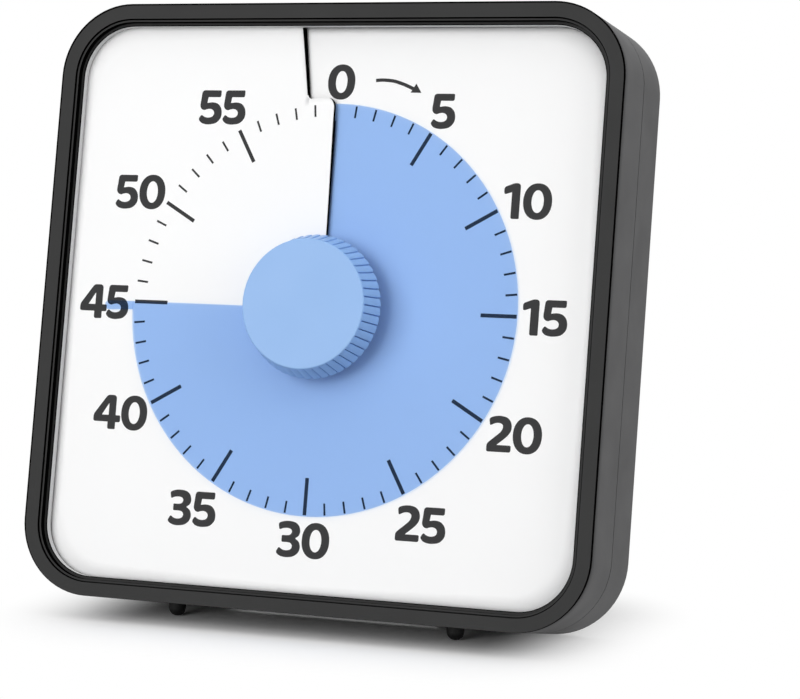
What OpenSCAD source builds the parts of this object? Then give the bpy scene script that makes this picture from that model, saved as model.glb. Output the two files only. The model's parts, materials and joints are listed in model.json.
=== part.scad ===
// Visual countdown timer: a square clock-like body that leans back on two small feet
// and a fold-out stand. A blue translucent film disc is wound out over a white dial by
// the centre knob, and a battery movement winds it back under the dial in up to 60 minutes.
//
// Row frame: +Z up, +X to the viewer's right, +Y away from the viewer. The origin is the
// bottom centre of the object's box. Each piece is drawn in the face frame first: x right
// and y up along the leaning face, z towards the viewer, 0 at the middle of the front
// band. A "depth" is a distance behind that band.

/* [Body] */
// Width of the body
body_w = 198; // [190:1:206]
// Height of the body along its leaning face
body_h = 199; // [191:1:207]
// Thickness of the body, front band to back face
body_d = 42; // [40:0.5:46]
// Outer corner radius
corner_r = 24.5; // [20:0.5:30]
// Depth of the line where the front shell meets the rear cover
split_d = 22.2; // [20:0.2:24]
// Wall of the shells
wall = 2.2; // [1.8:0.1:2.4]
// Lean of the face from the vertical, in degrees
lean = 11.5; // [10:0.5:12]

/* [Face] */
// Width of the flat front band
band_w = 4.8; // [4:0.1:5]
// Width of the stepped lip between the band and the dial
lip_w = 1.5; // [1:0.1:1.8]
// Depth of the dial just right of its slit
dial_low = 7; // [6.8:0.1:7.2]
// Rise of the dial and of the disc over one full turn
pitch = 1.8; // [1.6:0.1:2]
// Thickness of the dial sheet
dial_t = 0.5; // [0.3:0.1:0.6]
// Radius at which the slit steps sideways
notch_r = 69.5; // [69:0.5:72]
// How far the outer part of the slit lies left of the zero mark, in degrees
notch_deg = 7.5; // [5:2.5:10]
// How far the dial centre lies below the middle of the face
dial_drop = 0.5; // [0:0.1:1]

/* [Disc] */
// Radius of the film disc
disc_r = 67.6; // [66:0.2:68]
// Thickness of the film disc
film_t = 0.3; // [0.2:0.05:0.35]
// Gap between the dial and the disc over it
film_gap = 0.45; // [0.4:0.05:0.5]
// Reach of the pointer tab from the dial centre
pointer_r = 78; // [74:0.5:80]
// Clock angle of the disc's leading edge at rest, 6 degrees a minute
set_deg = 270; // [30:6:330]

/* [Knob] */
// Radius over the ribs
knob_r = 22.4; // [21:0.1:23]
// Radius of the knob's flat front
knob_front_r = 20.7; // [19:0.1:21]
// Distance that the knob stands out in front of the band
knob_out = 8.9; // [8:0.1:10]
// Depth of the knob's open back
knob_back = 2.5; // [2:0.1:2.6]
// Number of ribs round the knob
knob_ribs = 56; // [40:1:60]

/* [Feet and stand] */
// Distance of each foot from the middle
foot_x = 49.4; // [40:0.2:60]
// Depth of the feet behind the front band
foot_d = 20; // [18:0.5:21]
// Radius of a foot
foot_r = 3.1; // [2.8:0.1:3.4]
// Drop of a foot's tip below the body
foot_drop = 4.7; // [4.6:0.1:5]
// Width of the stand
stand_w = 70; // [50:1:72]
// Height of the stand's hinge from the middle of the face
stand_y = -20; // [-24:1:-16]
// Angle of the open stand from the vertical, in degrees
stand_deg = 16; // [14:0.5:18]

/* [Hidden] */
$fn = 64;
eps = 0.01;
half_w = body_w / 2;
half_h = body_h / 2;
sole_cut = 0.4;
shank_r = 1.7;
barb_r = 2.6;
barb_t = 2.4;
foot_round = half_h + foot_drop - foot_r;

// Steps round the front and back edges, as wide as the edges' rounding
front_step = 0.1;
back_step = 0.8;
back_step_t = 1.2;

// Height of the face's middle above the floor, and its place along Y
face_z = foot_round * cos(lean) + foot_d * sin(lean) + foot_r - sole_cut;
face_y = -(body_d * cos(lean) - (back_step - front_step) * sin(lean)) / 2;

// Depths of the layers behind the front band
cap_t = 0.9;
bezel_t = 2.2;
lip_1 = 1;
lip_2 = 3.2;
ring_back = 8.4;
chassis_d = 12;
chassis_t = 2;
joint_gap = 0.1;
ledge_d = ring_back + joint_gap;
ledge_w = 6;
side_gap = 0.3;

// Props of the dial on the chassis
prop_at = 84;
prop_r = 2.5;

// Hub, spindle and bush
hub_r = 9;
hub_front = 4.3;
hub_back = 7.6;
dial_hole_r = 12;
spindle_r = 3;
spindle_back_r = 2;
bush_r = 4.5;
bush_top = 9.8;
run = 0.05;

// Movement case
move_w = 56;
move_d = chassis_d + chassis_t + 0.2;
move_t = 16.2;
move_wall = 1.4;
move_mid = move_d + move_t / 2;

// Gear train, module 0.4 mm: pitch radius is teeth * gear_m / 2
gear_m = 0.4;
centre_teeth = 60;
pinion_teeth = 10;
third_teeth = 50;
fourth_teeth = 40;
rotor_teeth = 8;
third_at = [(centre_teeth + pinion_teeth) * gear_m / 2, 0];
fourth_at = third_at + [0, (third_teeth + pinion_teeth) * gear_m / 2];
rotor_reach = (fourth_teeth + rotor_teeth) * gear_m / 2;
rotor_turn = 145;
rotor_at = fourth_at + rotor_reach * [cos(rotor_turn), sin(rotor_turn)];
pinion_half = 180 / pinion_teeth;
centre_d = 17.6;
third_d = 20.4;
fourth_d = 23.4;
magnet_d = 25.2;
stator_front = magnet_d + 0.5;
stator_back = magnet_d + 2;
arbor_r = 0.7;
coil_at = [-14, 20];
ear_at = move_w / 2 + 6;
case_screw_at = 25;

// Rear cover: pocket of the stand, battery bay, switch, buzzer, keyhole
back_t = 2.4;
back_in = body_d - back_t;
pocket_w = stand_w + 4;
pocket_d = 6.5;
pocket_top = stand_y + 10;
pocket_floor = body_d - pocket_d;
rib = 2;
hinge_d = body_d - 3.5;
hinge_z = face_z + stand_y * cos(lean) - hinge_d * sin(lean);
stand_t = 4.4;
stand_tip = stand_t / 2;
stand_cut = 0.3;
stand_len = (hinge_z - stand_tip + stand_cut) / cos(stand_deg);
stand_open = stand_deg + lean;
pin_r = 1.25;
ear_w = 6;
ear_x = pocket_w / 2 - ear_w - 1;
cell_r = 7.1;
cell_len = 49.2;
bay_y = 52;
bay_len = 60;
bay_w = 17;
bay_floor = 24;
cell_d = bay_floor + cell_r + 0.5;
door_t = 1.8;
door_lip = 2;
post_xy = [half_w - corner_r + 13, half_h - corner_r + 13];
post_r = 4;
screw_r = 1.45;
pilot_r = 1.5;
head_r = 3;
switch_at = [64, 52];
switch_slot = [13, 4.4];
switch_travel = 7;
board_d = 31;
board_t = 1.6;
board_size = [46, 34];
buzzer_at = [-64, 52];
buzzer_r = 11;
keyhole_y = 78;
keyhole_r = 4.5;
keyhole_slot_r = 2.3;
keyhole_len = 9;

// Sheet steps, in degrees: one step is one sector of the spiral surfaces
dial_step = 2.5;
disc_step = 2.4;
disc_cells = 149;

// ---------------------------------------------------------------- shared shapes

// Places a piece drawn in the face frame into the row frame
module face() {
    translate([0, face_y, face_z]) rotate([90 - lean, 0, 0]) children();
}

// Rectangle with round corners, from squares and circles
module rounded(w, h, r) {
    square([w - 2 * r, h], center = true);
    square([w, h - 2 * r], center = true);
    for (sx = [-1, 1], sy = [-1, 1])
        translate([sx * (w / 2 - r), sy * (h / 2 - r)]) circle(r);
}

// The body's outline, moved inwards
module outline(inset) {
    rounded(body_w - 2 * inset, body_h - 2 * inset, corner_r - inset);
}

// A slab of the outline between two depths
module slab(inset, front, back) {
    translate([0, 0, -back]) linear_extrude(back - front) outline(inset);
}

// A frame of the outline between two insets and two depths
module frame(outer, inner, front, back) {
    translate([0, 0, -back]) linear_extrude(back - front) difference() {
        outline(outer);
        outline(inner);
    }
}

// A cylinder along the face normal, between two depths
module rod(at, r, front, back) {
    translate([at[0], at[1], -back]) cylinder(r = r, h = back - front);
}

// A box along the face normal, between two depths
module block(at, size, front, back) {
    translate([at[0] - size[0] / 2, at[1] - size[1] / 2, -back])
        cube([size[0], size[1], back - front]);
}

// The four corner posts' places
module at_posts() {
    for (sx = [-1, 1], sy = [-1, 1])
        translate([sx * post_xy[0], sy * post_xy[1], 0]) children();
}

// The four chassis screws' places, in the middle of each side
module at_sides() {
    inset = wall + ledge_w / 2 + 0.4;
    for (s = [-1, 1]) {
        translate([s * (half_w - inset), 0, 0]) children();
        translate([0, s * (half_h - inset), 0]) children();
    }
}

// Toothed wheel with straight-sided teeth, first tooth at angle turn
module gear(teeth, thick, turn = 0) {
    pitch_r = teeth * gear_m / 2;
    step = 360 / teeth;
    tip = pitch_r + 0.7 * gear_m;
    root = pitch_r - 1.1 * gear_m;
    points = [for (i = [0 : teeth - 1], k = [[root, -0.26], [tip, -0.12], [tip, 0.12], [root, 0.26]])
        let (a = turn + (i + k[1]) * step) k[0] * [cos(a), sin(a)]];
    linear_extrude(thick) polygon(points);
}

// Depth of the dial's front at a clock angle
function dial_depth(a) = dial_low - pitch * a / 360;

// Distance from the dial centre to the plate's rim at a clock angle
plate_inset = band_w + lip_w + side_gap;
plate_r = corner_r - plate_inset;
function rim_up(a) = half_h - plate_inset + (cos(a) > 0 ? dial_drop : -dial_drop);
function rim_side() = half_w - plate_inset;
function rim_flat(a) = min(rim_side() / max(abs(sin(a)), eps), rim_up(a) / max(abs(cos(a)), eps));
function rim_corner(a) =
    let (c = [rim_side() - plate_r, rim_up(a) - plate_r], d = [abs(sin(a)), abs(cos(a))])
    let (along = c * d) along + sqrt(max(along * along - c * c + plate_r * plate_r, 0));
function in_corner(a) =
    let (t = rim_flat(a), x = t * abs(sin(a)), y = t * abs(cos(a)))
    x > rim_side() - plate_r && y > rim_up(a) - plate_r;
function rim_r(a) = in_corner(a) ? rim_corner(a) : rim_flat(a);

// A point of a spiral sheet: radius, clock angle, depth
function sheet_point(r, a, d) = [r * sin(a), r * cos(a), -d];

// Faces of one sector between two radii. Columns hold six points: three radii on the
// front, then the same three on the back. j is the inner radius's place in the column.
function cap_faces(k, j) = let (p = 6 * k + j, q = p + 6) [
    [p, p + 1, q + 1], [p, q + 1, q],
    [q + 3, q + 4, p + 4], [q + 3, p + 4, p + 3]];
function inner_wall(k, j) = let (p = 6 * k + j, q = p + 6) [[p, q, q + 3], [p, q + 3, p + 3]];
function outer_wall(k, j) = let (p = 6 * k + j + 1, q = p + 6) [[q, p, p + 3], [q, p + 3, q + 3]];
function start_wall(k, j) = let (p = 6 * k + j) [[p + 1, p, p + 3], [p + 1, p + 3, p + 4]];
function end_wall(k, j) = let (p = 6 * k + j) [[p, p + 1, p + 4], [p, p + 4, p + 3]];

// ---------------------------------------------------------------- front

// Flat front band with a plug behind it
module front_bezel() {
    color("#3e3f40") face() {
        frame(front_step, band_w, 0, cap_t);
        frame(wall + 0.2, band_w, cap_t - eps, bezel_t);
    }
}

// Front half of the body: side wall, ledge behind the dial ring, corner posts
module front_shell() {
    color("#4a4b4d") face() {
        difference() {
            union() {
                frame(0, wall, cap_t + joint_gap, split_d);
                frame(wall - eps, wall + ledge_w, ledge_d, chassis_d - 0.05);
                at_posts() rod([0, 0], post_r, ledge_d, split_d);
            }
            at_posts() rod([0, 0], pilot_r, ledge_d - 1, split_d + 1);
            at_sides() rod([0, 0], pilot_r, ledge_d - 1, chassis_d + 1);
            for (s = [-1, 1])
                translate([s * foot_x, -half_h - 1, -foot_d]) rotate([-90, 0, 0])
                    cylinder(r = shank_r + joint_gap, h = wall + 2);
        }
    }
}

// Stepped trim ring between the band and the dial
module dial_ring() {
    color("#353637") face() {
        frame(wall + 0.4, band_w + lip_w, lip_2, ring_back);
        frame(wall + 0.4, band_w + 0.9, bezel_t + joint_gap, lip_2 + eps);
        frame(band_w + 0.1, band_w + 0.9, lip_1, bezel_t + joint_gap + eps);
    }
}

// White dial: a sheet cut from the centre to the rim, rising one pitch in a full turn
module dial_plate() {
    cells = 360 / dial_step;
    shift = notch_deg / dial_step;
    points = [for (k = [0 : cells + shift]) let (a = k * dial_step - notch_deg, d = dial_depth(a))
        for (back = [0, dial_t]) for (r = [dial_hole_r, notch_r, rim_r(a)])
            sheet_point(r, a, d + back)];
    faces = [
        for (k = [shift : cells + shift - 1]) each concat(cap_faces(k, 0), inner_wall(k, 0)),
        for (k = [0 : cells - 1]) each concat(cap_faces(k, 1), outer_wall(k, 1)),
        for (k = [0 : shift - 1]) each inner_wall(k, 1),
        for (k = [cells : cells + shift - 1]) each outer_wall(k, 0),
        each start_wall(shift, 0), each end_wall(cells + shift, 0),
        each start_wall(0, 1), each end_wall(cells, 1)];
    color("#fbfbfb") face() translate([0, -dial_drop, 0]) polyhedron(points, faces, convexity = 6);
}

// Inner plate that carries the dial on posts and the movement behind it
module chassis_plate() {
    color("#6d7074") face() {
        difference() {
            union() {
                slab(wall + 0.4, chassis_d, chassis_d + chassis_t);
                for (a = [45 : 45 : 315])
                    translate([0, -dial_drop, 0])
                        rod(prop_at * [sin(a), cos(a)], prop_r, dial_depth(a - 2.5) + dial_t,
                            chassis_d + eps);
            }
            rod([0, -dial_drop], bush_r + 0.2, chassis_d - 1, chassis_d + chassis_t + 1);
            at_posts() rod([0, 0], post_r + 0.2, chassis_d - 1, chassis_d + chassis_t + 1);
            at_sides() rod([0, 0], pilot_r + 0.2, chassis_d - 1, chassis_d + chassis_t + 1);
            for (s = [-1, 1]) rod([s * ear_at, -dial_drop], pilot_r, chassis_d - 1,
                chassis_d + chassis_t + 1);
        }
    }
}

// ---------------------------------------------------------------- back

// Keyhole outline for a wall hook
module keyhole() {
    translate([0, keyhole_y]) circle(keyhole_r);
    translate([0, keyhole_y + keyhole_len]) circle(keyhole_slot_r);
    translate([-keyhole_slot_r, keyhole_y]) square([2 * keyhole_slot_r, keyhole_len]);
}

// Rear half of the body with the stand's pocket, the battery bay and the openings
module rear_cover() {
    pocket_h = pocket_top + half_h;
    pocket_y = pocket_top - pocket_h / 2;
    color("#48494b") face() {
        difference() {
            union() {
                frame(0, wall, split_d + joint_gap, body_d - back_step_t);
                slab(wall - eps, back_in, body_d);
                frame(back_step, wall, back_in, body_d);
                block([0, pocket_y + rib / 2], [pocket_w + 2 * rib, pocket_h + rib - 1],
                    pocket_floor - rib, back_in + eps);
                block([0, bay_y], [bay_len + 2 * rib, bay_w + 2 * rib], bay_floor - rib,
                    back_in + eps);
                at_posts() rod([0, 0], post_r, split_d + joint_gap, back_in + eps);
                for (sx = [-1, 1], sy = [-1, 1])
                    rod(switch_at + [sx * (board_size[0] / 2 - 4), sy * (board_size[1] / 2 - 4)], 2,
                        board_d + board_t + 0.05, back_in + eps);
            }
            block([0, pocket_y - 1], [pocket_w, pocket_h + 2], pocket_floor, body_d + 1);
            block([0, bay_y], [bay_len, bay_w], bay_floor, body_d + 1);
            block([0, bay_y], [bay_len + 2 * door_lip, bay_w + 2 * door_lip],
                body_d - door_t - 0.2, body_d + 1);
            at_posts() rod([0, 0], pilot_r, split_d - 1, body_d + 1);
            at_posts() rod([0, 0], head_r + 0.2, body_d - 2.2, body_d + 1);
            block(switch_at, switch_slot, back_in - 1, body_d + 1);
            for (i = [0 : 5]) rod(buzzer_at + 5 * [cos(60 * i), sin(60 * i)], 1.1,
                back_in - 1, body_d + 1);
            rod(buzzer_at, 1.1, back_in - 1, body_d + 1);
            translate([0, 0, -body_d - 1]) linear_extrude(back_t + 2) keyhole();
        }
        difference() {
            for (s = [-1, 1]) block([s * (ear_x + ear_w / 2 + 1), stand_y + 1],
                [ear_w - 2, 6], pocket_floor - eps, hinge_d + 3);
            hinge_bore(pin_r + run / 2);
        }
    }
}

// Bore along the stand's hinge line
module hinge_bore(r) {
    translate([-pocket_w / 2 + 0.5, stand_y, -hinge_d]) rotate([0, 90, 0])
        cylinder(r = r, h = pocket_w - 1);
}

// Sliding battery door with a thumb rib
module battery_door() {
    size = [bay_len + 2 * door_lip - 0.4, bay_w + 2 * door_lip - 0.4];
    color("#454648") face() {
        block([0, bay_y], size, body_d - door_t, body_d);
        block([0, bay_y], [bay_len - 2, 3], body_d - door_t - 0.8, body_d - door_t + eps);
    }
}

// Fold-out stand, open: a framed leg with a round foot bar and two hinge knuckles
module stand() {
    inner_w = stand_w - 20;
    color("#414244") face() translate([0, stand_y, -hinge_d]) rotate([stand_open, 0, 0])
        difference() {
            union() {
                translate([-stand_w / 2, -stand_len, -stand_t / 2])
                    cube([stand_w, stand_len - 6, stand_t]);
                translate([-stand_w / 2, -stand_len, 0]) rotate([0, 90, 0])
                    cylinder(r = stand_tip, h = stand_w);
                for (s = [-1, 1]) translate([s * (ear_x - 7) - 5, -7, -stand_t / 2])
                    cube([10, 7, stand_t]);
                for (s = [-1, 1]) translate([s * (ear_x - 7) - 5, 0, 0]) rotate([0, 90, 0])
                    cylinder(r = stand_tip, h = 10);
            }
            translate([-inner_w / 2, 12 - stand_len, -stand_t])
                cube([inner_w, stand_len - 34, 2 * stand_t]);
            translate([-stand_w, 0, 0]) rotate([0, 90, 0])
                cylinder(r = pin_r + run, h = 2 * stand_w);
            rotate([-stand_open, 0, 0]) translate([0, -stand_y, hinge_d])
                rotate([lean - 90, 0, 0]) translate([-stand_w, -face_y, -face_z - 10])
                    cube([2 * stand_w, 200, 10]);
        }
}

// Steel pin of the stand's hinge
module stand_pin() {
    color("#b9bcc0") face() translate([-pocket_w / 2 + 0.8, stand_y, -hinge_d])
        rotate([0, 90, 0]) cylinder(r = pin_r, h = pocket_w - 1.6);
}

// Rubber foot with a round tip, cut flat where it stands, and a barb inside the wall
module foot(side) {
    face() difference() {
        translate([side * foot_x, 0, -foot_d]) rotate([90, 0, 0]) {
            cylinder(r = shank_r, h = half_h + joint_gap + eps);
            cylinder(r = barb_r, h = half_h - wall - joint_gap);
            difference() {
                union() {
                    cylinder(r = foot_r, h = foot_round);
                    translate([0, 0, foot_round]) sphere(foot_r);
                }
                cylinder(r = foot_r + 1, h = half_h + joint_gap);
            }
        }
        translate([side * foot_x, 0, -foot_d]) rotate([90, 0, 0])
            cylinder(r = foot_r, h = half_h - wall - joint_gap - barb_t);
        rotate([lean - 90, 0, 0]) translate([-body_w, -100, -face_z - 10])
            cube([2 * body_w, 300, 10]);
    }
}

module foot_left() {
    color("#151515") foot(-1);
}

module foot_right() {
    color("#151515") foot(1);
}

// ---------------------------------------------------------------- knob and disc

// Ribbed setting knob: a cup with a boss for the spindle
module setting_knob() {
    step = 360 / knob_ribs;
    rib_points = [for (i = [0 : knob_ribs - 1], k = [[0, -0.42], [0, 0.42], [-0.55, 0.5]])
        let (a = (i + k[1]) * step) (knob_r + k[0]) * [cos(a), sin(a)]];
    shoulder = knob_out - 1.5;
    color("#9ec2f1") face() translate([0, -dial_drop, 0]) difference() {
        union() {
            translate([0, 0, -knob_back]) linear_extrude(knob_back + shoulder) polygon(rib_points);
            rotate_extrude() polygon([[0, shoulder - eps], [knob_r - 0.6, shoulder - eps],
                [knob_r - 0.7, shoulder + 0.6], [knob_front_r + 0.3, knob_out - 0.3],
                [knob_front_r, knob_out], [0, knob_out]]);
        }
        difference() {
            translate([0, 0, -knob_back - 1]) cylinder(r = knob_r - 3, h = knob_back + shoulder);
            translate([0, 0, -knob_back]) cylinder(r = 6, h = knob_back + shoulder);
            for (a = [0 : 60 : 300]) rotate(a) translate([5, -0.8, -knob_back + 1.5])
                cube([knob_r - 7, 1.6, knob_back + shoulder]);
        }
        translate([0, 0, -knob_back - 1]) cylinder(r = spindle_r, h = knob_back + 1 + 6);
    }
}

// Film disc with its pointer tab, cut from centre to rim and rising like the dial
module time_disc() {
    first = set_deg - disc_cells * disc_step;
    last = disc_cells - 1;
    points = [for (k = [0 : disc_cells]) let (a = first + k * disc_step)
        let (d = dial_depth(a) - film_gap - film_t)
        for (back = [0, film_t]) for (r = [hub_r - 0.3, disc_r, pointer_r])
            sheet_point(r, a, d + back)];
    faces = [
        for (k = [0 : last]) each concat(cap_faces(k, 0), inner_wall(k, 0)),
        for (k = [0 : last - 1]) each outer_wall(k, 0),
        each cap_faces(last, 1), each outer_wall(last, 1),
        each start_wall(0, 0), each end_wall(disc_cells, 0),
        each start_wall(last, 1), each end_wall(disc_cells, 1)];
    color("#98bbf0") face() translate([0, -dial_drop, 0]) polyhedron(points, faces, convexity = 6);
}

// Hub that carries the disc on the spindle
module disc_hub() {
    color("#8fb2ea") face() translate([0, -dial_drop, 0]) difference() {
        rod([0, 0], hub_r, hub_front, hub_back);
        rod([0, 0], spindle_r + run / 2, hub_front - 1, hub_back + 1);
    }
}

// Steel spindle from the movement to the knob
module spindle() {
    color("#c4c7ca") face() translate([0, -dial_drop, 0]) {
        translate([0, 0, -move_d - 2]) cylinder(r = spindle_r - run, h = move_d + 2 + 5.5);
        translate([0, 0, -move_d - move_t + 0.6])
            cylinder(r = spindle_back_r, h = move_t - 2.6 + eps);
    }
}

// Spring washer that lets the knob slip past the train when it is set by hand
module clutch_spring() {
    color("#c9a24a") face() translate([0, -dial_drop, 0]) difference() {
        rod([0, 0], 5.5, centre_d + 1.3, centre_d + 1.9);
        rod([0, 0], spindle_back_r + run, centre_d, centre_d + 4);
    }
}

// ---------------------------------------------------------------- movement

// Places a piece of the train, about the dial centre
module train(at, front) {
    face() translate([at[0], at[1] - dial_drop, -front]) mirror([0, 0, 1]) children();
}

// Wheel and pinion on one arbor, from the pinion's depth to the wheel's depth
module arbor(wheel_teeth, pinion, from, wheel_at, wheel_turn, pinion_turn) {
    gear(pinion, 2, pinion_turn);
    translate([0, 0, wheel_at - from]) gear(wheel_teeth, 1.2, wheel_turn);
    translate([0, 0, move_d + 0.4 - from]) cylinder(r = arbor_r, h = move_t - 0.8);
}

module centre_wheel() {
    color("#d9d3bd") train([0, 0], centre_d) difference() {
        gear(centre_teeth, 1.2);
        translate([0, 0, -1]) cylinder(r = spindle_back_r + run, h = 4);
    }
}

module third_wheel() {
    color("#e6e2d4") train(third_at, centre_d - 0.4)
        arbor(third_teeth, pinion_teeth, centre_d - 0.4, third_d, 90, pinion_half);
}

module fourth_wheel() {
    color("#e6e2d4") train(fourth_at, third_d - 0.4)
        arbor(fourth_teeth, pinion_teeth, third_d - 0.4, fourth_d, rotor_turn, 90 + pinion_half);
}

// Magnet and pinion of the stepping motor
module rotor() {
    back_turn = rotor_turn + 180 + 180 / rotor_teeth;
    color("#55585c") train(rotor_at, fourth_d - 0.4) {
        gear(rotor_teeth, 1.9, back_turn);
        translate([0, 0, magnet_d - fourth_d + 0.4]) cylinder(r = 3, h = 2.4);
        translate([0, 0, move_d + 0.4 - fourth_d + 0.4]) cylinder(r = arbor_r, h = move_t - 0.8);
    }
}

// The two case screws' places, on one diagonal
module at_case_screws() {
    for (s = [-1, 1]) translate([s * case_screw_at, s * case_screw_at - dial_drop, 0]) children();
}

// Half of the movement case: a tray between two depths, open at depth 'open'
module case_half(front, back, skin_front) {
    skin = skin_front ? [front, front + move_wall] : [back - move_wall, back];
    inside = skin_front ? [front + move_wall, back + 1] : [front - 1, back - move_wall];
    difference() {
        block([0, -dial_drop], [move_w, move_w], front, back);
        block([0, -dial_drop], [move_w, move_w] - 2 * [move_wall, move_wall], inside[0], inside[1]);
        for (at = [third_at, fourth_at, rotor_at])
            rod(at - [0, dial_drop], arbor_r + run, skin[0] + 0.3 - 1, skin[1] + 1);
    }
}

module movement_front() {
    color("#2b2c2e") face() difference() {
        union() {
            case_half(move_d, move_mid, true);
            rod([0, -dial_drop], bush_r, bush_top, move_d + move_wall);
            for (s = [-1, 1]) block([s * (ear_at - 1), -dial_drop], [10.2, 10], move_d,
                move_d + 2);
            at_case_screws() rod([0, 0], 2, move_d + move_wall - eps, move_mid);
        }
        rod([0, -dial_drop], spindle_r + run / 2, bush_top - 1, move_d + move_wall + 1);
        for (s = [-1, 1]) rod([s * ear_at, -dial_drop], pilot_r, move_d - 1, move_d + 4);
        at_case_screws() rod([0, 0], 0.85, move_mid - 5, move_mid + 1);
    }
}

module movement_back() {
    color("#323335") face() difference() {
        union() {
            case_half(move_mid + joint_gap, move_d + move_t, false);
            rod([0, -dial_drop], 4, move_d + move_t - 3.4, move_d + move_t - move_wall + eps);
            at_case_screws() rod([0, 0], 2, move_mid + joint_gap, move_d + move_t - eps);
            for (at = [coil_at - [10.3, 0], rotor_at + [4.4, -dial_drop]])
                rod(at, 0.9, stator_back + 0.05, move_d + move_t - move_wall + eps);
        }
        rod([0, -dial_drop], spindle_back_r + run, move_d + move_t - 4, move_d + move_t + 1);
        at_case_screws() rod([0, 0], 0.85, move_mid - 1, move_d + move_t + 1);
    }
}

// Hexagon nut that holds the movement's bush to the chassis
module movement_nut() {
    color("#c9a24a") face() difference() {
        translate([0, -dial_drop, -chassis_d]) cylinder(r = 7.5, h = 1.8, $fn = 6);
        rod([0, -dial_drop], bush_r + run, chassis_d - 4, chassis_d + 1);
    }
}

// Iron stator of the stepping motor, round the rotor and through the coil
module stator() {
    at = rotor_at - [0, dial_drop];
    color("#8c9094") face() difference() {
        union() {
            rod(at, 5.4, stator_front, stator_back);
            block([(at[0] + coil_at[0]) / 2 - 5, coil_at[1]], [at[0] - coil_at[0] + 12, 4],
                stator_front, stator_back);
        }
        rod(at, 3.4, stator_front - 1, stator_back + 1);
    }
}

// Copper winding on its bobbin, bored for the stator's arm
module coil() {
    color("#b4703a") face() difference() {
        translate([coil_at[0] - 9, coil_at[1], -magnet_d - 0.2]) rotate([0, 90, 0])
            cylinder(r = 3.3, h = 14);
        block([coil_at[0], coil_at[1]], [40, 4.4], stator_front - 0.2, stator_back + 0.2);
    }
}

// ---------------------------------------------------------------- electrics

// Circuit board with its chip, crystal and switch body
module circuit_board() {
    color("#2f6b46") face() {
        block(switch_at, board_size, board_d, board_d + board_t);
        block(switch_at + [-12, 8], [8, 6], board_d - 1.4, board_d + eps);
        block(switch_at + [12, -9], [7, 2.4], board_d - 2.2, board_d + eps);
        block(switch_at, [18, 7], board_d + board_t - eps, board_d + board_t + 2.4);
    }
}

// Loudness slider, reached through the slot in the rear cover
module volume_slider() {
    color("#d4d6d8") face() {
        block(switch_at - [switch_travel / 2, 0], [5, 3.4], board_d + board_t + 3.2, body_d - 0.4);
        block(switch_at - [switch_travel / 2, 0], [9, 6.4], board_d + board_t + 2.7,
            board_d + board_t + 4.2);
    }
}

// Round sounder behind its grille
module buzzer() {
    color("#1f2022") face() difference() {
        rod(buzzer_at, buzzer_r, back_in - 6.2, back_in - 0.2);
        rod(buzzer_at, 1.5, back_in - 3, back_in + 1);
    }
}

// One round cell of the common 14.5 by 50.5 mm size, in its bay
module battery_cell() {
    color("#7d8287") face() translate([-cell_len / 2, bay_y, -cell_d]) rotate([0, 90, 0]) {
        cylinder(r = cell_r, h = cell_len);
        cylinder(r = 2.7, h = cell_len + 1.2);
    }
}

// Flat contact at the cell's button end, with a raised dimple
module contact_plus() {
    plate_x = bay_len / 2 - 0.2;
    dimple_x = cell_len / 2 + 1.4;
    color("#c6c8ca") face() {
        block([plate_x - 0.3, bay_y], [0.6, 10], cell_d - 5, cell_d + 5);
        translate([dimple_x, bay_y, -cell_d]) rotate([0, 90, 0])
            cylinder(r1 = 2, r2 = 3.2, h = plate_x - dimple_x - 0.5);
    }
}

// Coil contact at the cell's flat end: rings of spring wire on a plate
module contact_minus() {
    plate_x = -bay_len / 2 + 0.2;
    color("#c6c8ca") face() {
        block([plate_x + 0.3, bay_y], [0.6, 10], cell_d - 5, cell_d + 5);
        translate([plate_x + 0.5, bay_y, -cell_d]) rotate([0, 90, 0]) difference() {
            cylinder(r1 = 4, r2 = 2.6, h = -cell_len / 2 - plate_x - 0.6);
            translate([0, 0, -1]) cylinder(r1 = 3.2, r2 = 1.9, h = 8);
        }
    }
}

// ---------------------------------------------------------------- screws

// Screw along the face normal, head at the back, slotted head drawn as a plain disc
module screw(shank_r, big_r, front, head, back) {
    rod([0, 0], shank_r, front, head + eps);
    difference() {
        rod([0, 0], big_r, head, back);
        block([0, 0], [0.7, 3.4], back - 0.8, back + 1);
        block([0, 0], [3.4, 0.7], back - 0.8, back + 1);
    }
}

module cover_screws() {
    color("#9a9da1") face() at_posts() screw(screw_r, head_r, 16, body_d - 2.1, body_d - 0.5);
}

module chassis_screws() {
    head = chassis_d + chassis_t + 0.05;
    color("#9a9da1") face() at_sides() screw(screw_r, 2.4, ledge_d + 0.5, head, head + 1.5);
}

module movement_screws() {
    head = move_d + 2.05;
    color("#9a9da1") face() for (s = [-1, 1]) translate([s * ear_at, -dial_drop, 0])
        screw(screw_r, 2.4, chassis_d + 0.2, head, head + 1.5);
}

module case_screws() {
    head = move_d + move_t + 0.05;
    color("#9a9da1") face() at_case_screws() screw(0.8, 1.6, move_mid - 4, head, head + 1);
}

// ---------------------------------------------------------------- output

front_bezel();
front_shell();
dial_ring();
dial_plate();
chassis_plate();
rear_cover();
battery_door();
stand();
stand_pin();
foot_left();
foot_right();
setting_knob();
time_disc();
disc_hub();
spindle();
clutch_spring();
centre_wheel();
third_wheel();
fourth_wheel();
rotor();
movement_front();
movement_back();
movement_nut();
stator();
coil();
circuit_board();
volume_slider();
buzzer();
battery_cell();
contact_plus();
contact_minus();
cover_screws();
chassis_screws();
movement_screws();
case_screws();
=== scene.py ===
# %% [markdown]
# A visual countdown timer for a desk: a square body that leans back on two small feet and a
# fold-out stand. A blue film disc is wound out over a white dial by the knob in the middle.
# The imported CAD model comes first. It says where every piece is, so nothing below has to be
# fitted by eye.
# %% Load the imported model
import json
import math

import bmesh
import bpy
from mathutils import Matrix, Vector, geometry


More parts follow.
